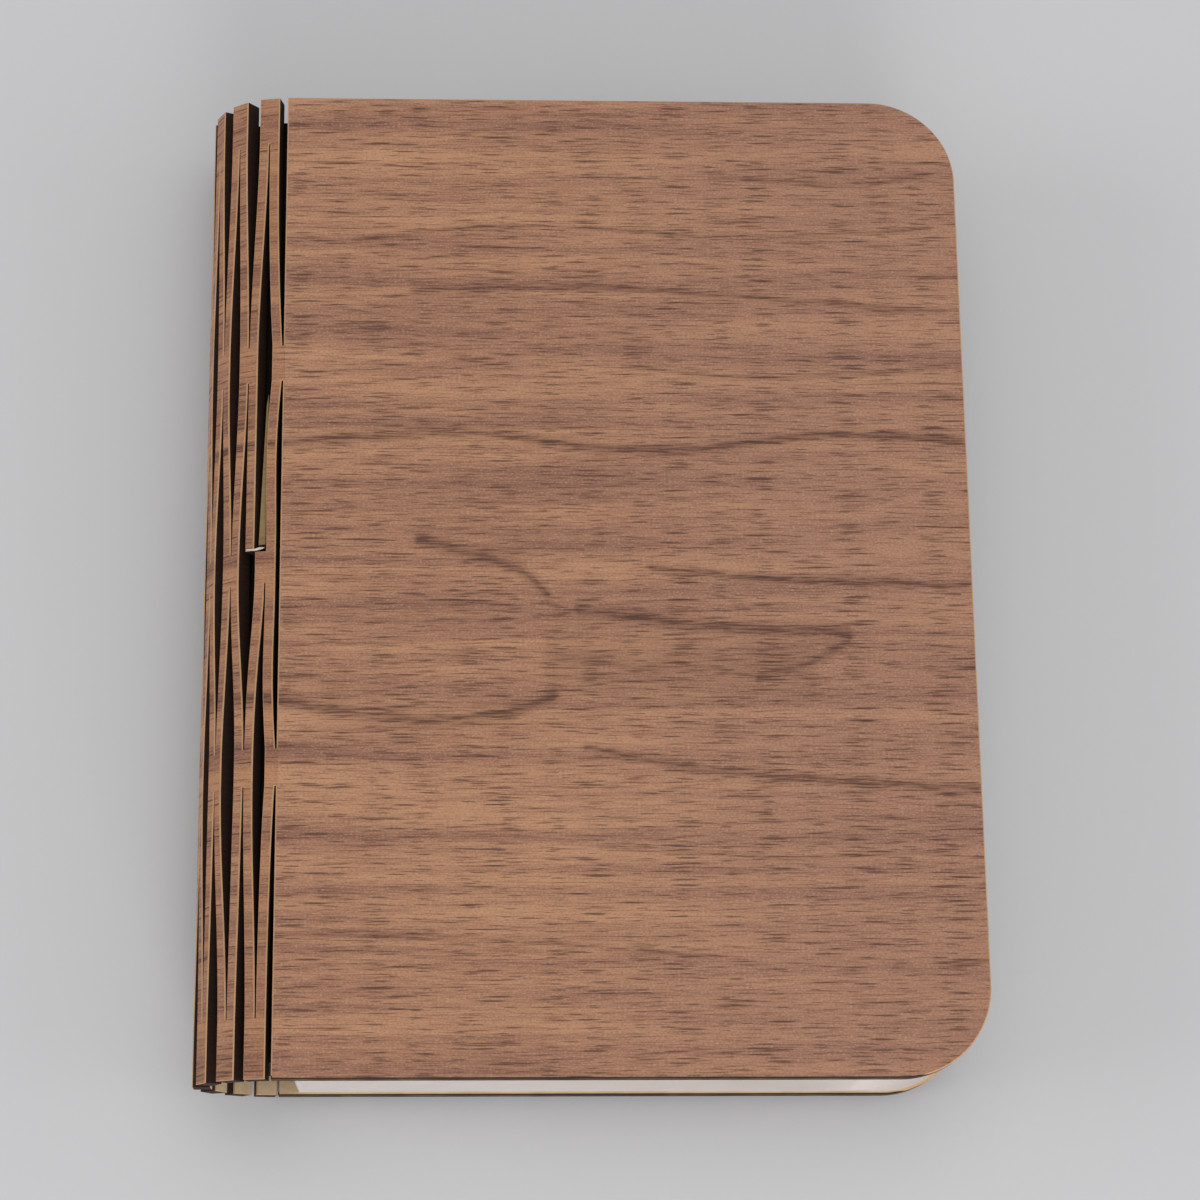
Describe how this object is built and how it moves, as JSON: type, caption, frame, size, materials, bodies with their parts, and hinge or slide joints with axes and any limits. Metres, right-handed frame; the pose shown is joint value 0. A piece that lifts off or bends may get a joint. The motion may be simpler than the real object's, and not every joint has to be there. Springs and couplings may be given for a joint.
{
  "type": "folding book lamp",
  "caption": "Book-shaped folding lamp with wooden covers, a laser-cut living-hinge spine and a pleated paper shade round a light bar.",
  "frame": {"origin": "centre of the closed book's footprint, on the surface that it lies on", "axes": "+X from the spine to the fore edge, +Y up the page, +Z from the back cover to the front cover"},
  "size_m": [0.1264, 0.166, 0.0265],
  "materials": {
    "walnut": "satin",
    "shade_paper": "matte",
    "endpaper": "matte",
    "magnet": "polished",
    "black_plastic": "matte",
    "white_plastic": "satin",
    "opal_plastic": "satin",
    "light_strip": "satin",
    "plated_steel": "satin",
    "adhesive_pad": "matte",
    "circuit_board": "satin",
    "switch_glass": "gloss",
    "cell_foil": "satin",
    "lead_red": "satin",
    "lead_black": "satin"
  },
  "bodies": {
    "link_4": {"spine_link_4": "walnut", "bar_housing": "black_plastic", "led_carrier": "white_plastic", "led_strip_back": "light_strip", "led_strip_front": "light_strip", "led_diffuser": "opal_plastic", "carrier_screw_lower": "plated_steel", "carrier_screw_upper": "plated_steel", "bar_mounting_pad": "adhesive_pad", "end_cap_upper": "black_plastic", "end_cap_lower": "black_plastic", "charging_socket": "plated_steel", "charging_board": "circuit_board", "charge_indicator": "opal_plastic", "magnetic_switch": "switch_glass", "battery_cell": "cell_foil", "battery_lead_red": "lead_red", "battery_lead_black": "lead_black"},
    "link_3": {"spine_link_3": "walnut"},
    "link_2": {"spine_link_2": "walnut"},
    "link_1": {"spine_link_1": "walnut"},
    "back_cover": {"back_cover_board": "walnut", "back_endpaper": "endpaper", "back_magnet_lower": "magnet", "back_magnet_upper": "magnet"},
    "link_5": {"spine_link_5": "walnut"},
    "link_6": {"spine_link_6": "walnut"},
    "link_7": {"spine_link_7": "walnut"},
    "front_cover": {"front_cover_board": "walnut", "front_endpaper": "endpaper", "front_magnet_lower": "magnet", "front_magnet_upper": "magnet", "switch_magnet": "magnet"},
    "pleat_01": {"shade_pleat_01": "shade_paper"},
    "pleat_02": {"shade_pleat_02": "shade_paper"},
    "pleat_03": {"shade_pleat_03": "shade_paper"},
    "pleat_04": {"shade_pleat_04": "shade_paper"},
    "pleat_05": {"shade_pleat_05": "shade_paper"},
    "pleat_06": {"shade_pleat_06": "shade_paper"},
    "pleat_07": {"shade_pleat_07": "shade_paper"},
    "pleat_08": {"shade_pleat_08": "shade_paper"},
    "pleat_09": {"shade_pleat_09": "shade_paper"},
    "pleat_10": {"shade_pleat_10": "shade_paper"},
    "pleat_11": {"shade_pleat_11": "shade_paper"},
    "pleat_12": {"shade_pleat_12": "shade_paper"},
    "pleat_13": {"shade_pleat_13": "shade_paper"},
    "pleat_14": {"shade_pleat_14": "shade_paper"}
  },
  "joints": [
    {"name": "spine_bend_3", "type": "hinge", "parent": "link_4", "child": "link_3", "pos_m": [-0.06173, 0, 0.01064], "axis": [0, 1, 0], "range_deg": [0, 52.71]},
    {"name": "spine_bend_2", "type": "hinge", "parent": "link_3", "child": "link_2", "pos_m": [-0.05946, 0, 0.00592], "axis": [0, 1, 0], "range_deg": [0, 52.71]},
    {"name": "spine_bend_1", "type": "hinge", "parent": "link_2", "child": "link_1", "pos_m": [-0.05537, 0, 0.00266], "axis": [0, 1, 0], "range_deg": [0, 52.71]},
    {"name": "back_hinge", "type": "hinge", "parent": "link_1", "child": "back_cover", "pos_m": [-0.05027, 0, 0.0015], "axis": [0, 1, 0], "range_deg": [0, 26.36]},
    {"name": "spine_bend_4", "type": "hinge", "parent": "link_4", "child": "link_5", "pos_m": [-0.06173, 0, 0.01586], "axis": [0, -1, 0], "range_deg": [0, 52.71]},
    {"name": "spine_bend_5", "type": "hinge", "parent": "link_5", "child": "link_6", "pos_m": [-0.05946, 0, 0.02058], "axis": [0, -1, 0], "range_deg": [0, 52.71]},
    {"name": "spine_bend_6", "type": "hinge", "parent": "link_6", "child": "link_7", "pos_m": [-0.05537, 0, 0.02384], "axis": [0, -1, 0], "range_deg": [0, 52.71]},
    {"name": "front_hinge", "type": "hinge", "parent": "link_7", "child": "front_cover", "pos_m": [-0.05027, 0, 0.025], "axis": [0, -1, 0], "range_deg": [0, 26.36]},
    {"name": "fold_01", "type": "hinge", "parent": "link_1", "child": "pleat_01", "pos_m": [-0.04627, 0, 0.0041], "axis": [0, 1, 0], "range_deg": [0, 13.18]},
    {"name": "fold_02", "type": "hinge", "parent": "link_1", "child": "pleat_02", "pos_m": [-0.04627, 0, 0.00551], "axis": [0, -1, 0], "range_deg": [0, 13.18]},
    {"name": "fold_03", "type": "hinge", "parent": "link_2", "child": "pleat_03", "pos_m": [-0.04627, 0, 0.00692], "axis": [0, 1, 0], "range_deg": [0, 13.18]},
    {"name": "fold_04", "type": "hinge", "parent": "link_2", "child": "pleat_04", "pos_m": [-0.04627, 0, 0.00833], "axis": [0, -1, 0], "range_deg": [0, 13.18]},
    {"name": "fold_05", "type": "hinge", "parent": "link_3", "child": "pleat_05", "pos_m": [-0.04627, 0, 0.00973], "axis": [0, 1, 0], "range_deg": [0, 13.18]},
    {"name": "fold_06", "type": "hinge", "parent": "link_3", "child": "pleat_06", "pos_m": [-0.04627, 0, 0.01114], "axis": [0, -1, 0], "range_deg": [0, 13.18]},
    {"name": "fold_07", "type": "hinge", "parent": "link_4", "child": "pleat_07", "pos_m": [-0.04627, 0, 0.01255], "axis": [0, 1, 0], "range_deg": [0, 13.18]},
    {"name": "fold_08", "type": "hinge", "parent": "link_4", "child": "pleat_08", "pos_m": [-0.04627, 0, 0.01395], "axis": [0, -1, 0], "range_deg": [0, 13.18]},
    {"name": "fold_09", "type": "hinge", "parent": "link_5", "child": "pleat_09", "pos_m": [-0.04627, 0, 0.01536], "axis": [0, 1, 0], "range_deg": [0, 13.18]},
    {"name": "fold_10", "type": "hinge", "parent": "link_5", "child": "pleat_10", "pos_m": [-0.04627, 0, 0.01677], "axis": [0, -1, 0], "range_deg": [0, 13.18]},
    {"name": "fold_11", "type": "hinge", "parent": "link_6", "child": "pleat_11", "pos_m": [-0.04627, 0, 0.01818], "axis": [0, 1, 0], "range_deg": [0, 13.18]},
    {"name": "fold_12", "type": "hinge", "parent": "link_6", "child": "pleat_12", "pos_m": [-0.04627, 0, 0.01958], "axis": [0, -1, 0], "range_deg": [0, 13.18]},
    {"name": "fold_13", "type": "hinge", "parent": "link_7", "child": "pleat_13", "pos_m": [-0.04627, 0, 0.02099], "axis": [0, 1, 0], "range_deg": [0, 13.18]},
    {"name": "fold_14", "type": "hinge", "parent": "link_7", "child": "pleat_14", "pos_m": [-0.04627, 0, 0.0224], "axis": [0, -1, 0], "range_deg": [0, 13.18]}
  ],
  "couplings": [
    {"joint": "spine_bend_2", "follows": "spine_bend_3", "ratio": 1},
    {"joint": "spine_bend_1", "follows": "spine_bend_3", "ratio": 1},
    {"joint": "back_hinge", "follows": "spine_bend_3", "ratio": 0.5},
    {"joint": "spine_bend_4", "follows": "spine_bend_3", "ratio": 1},
    {"joint": "spine_bend_5", "follows": "spine_bend_3", "ratio": 1},
    {"joint": "spine_bend_6", "follows": "spine_bend_3", "ratio": 1},
    {"joint": "front_hinge", "follows": "spine_bend_3", "ratio": 0.5},
    {"joint": "fold_01", "follows": "spine_bend_3", "ratio": 0.25},
    {"joint": "fold_02", "follows": "spine_bend_3", "ratio": 0.25},
    {"joint": "fold_03", "follows": "spine_bend_3", "ratio": 0.25},
    {"joint": "fold_04", "follows": "spine_bend_3", "ratio": 0.25},
    {"joint": "fold_05", "follows": "spine_bend_3", "ratio": 0.25},
    {"joint": "fold_06", "follows": "spine_bend_3", "ratio": 0.25},
    {"joint": "fold_07", "follows": "spine_bend_3", "ratio": 0.25},
    {"joint": "fold_08", "follows": "spine_bend_3", "ratio": 0.25},
    {"joint": "fold_09", "follows": "spine_bend_3", "ratio": 0.25},
    {"joint": "fold_10", "follows": "spine_bend_3", "ratio": 0.25},
    {"joint": "fold_11", "follows": "spine_bend_3", "ratio": 0.25},
    {"joint": "fold_12", "follows": "spine_bend_3", "ratio": 0.25},
    {"joint": "fold_13", "follows": "spine_bend_3", "ratio": 0.25},
    {"joint": "fold_14", "follows": "spine_bend_3", "ratio": 0.25}
  ]
}
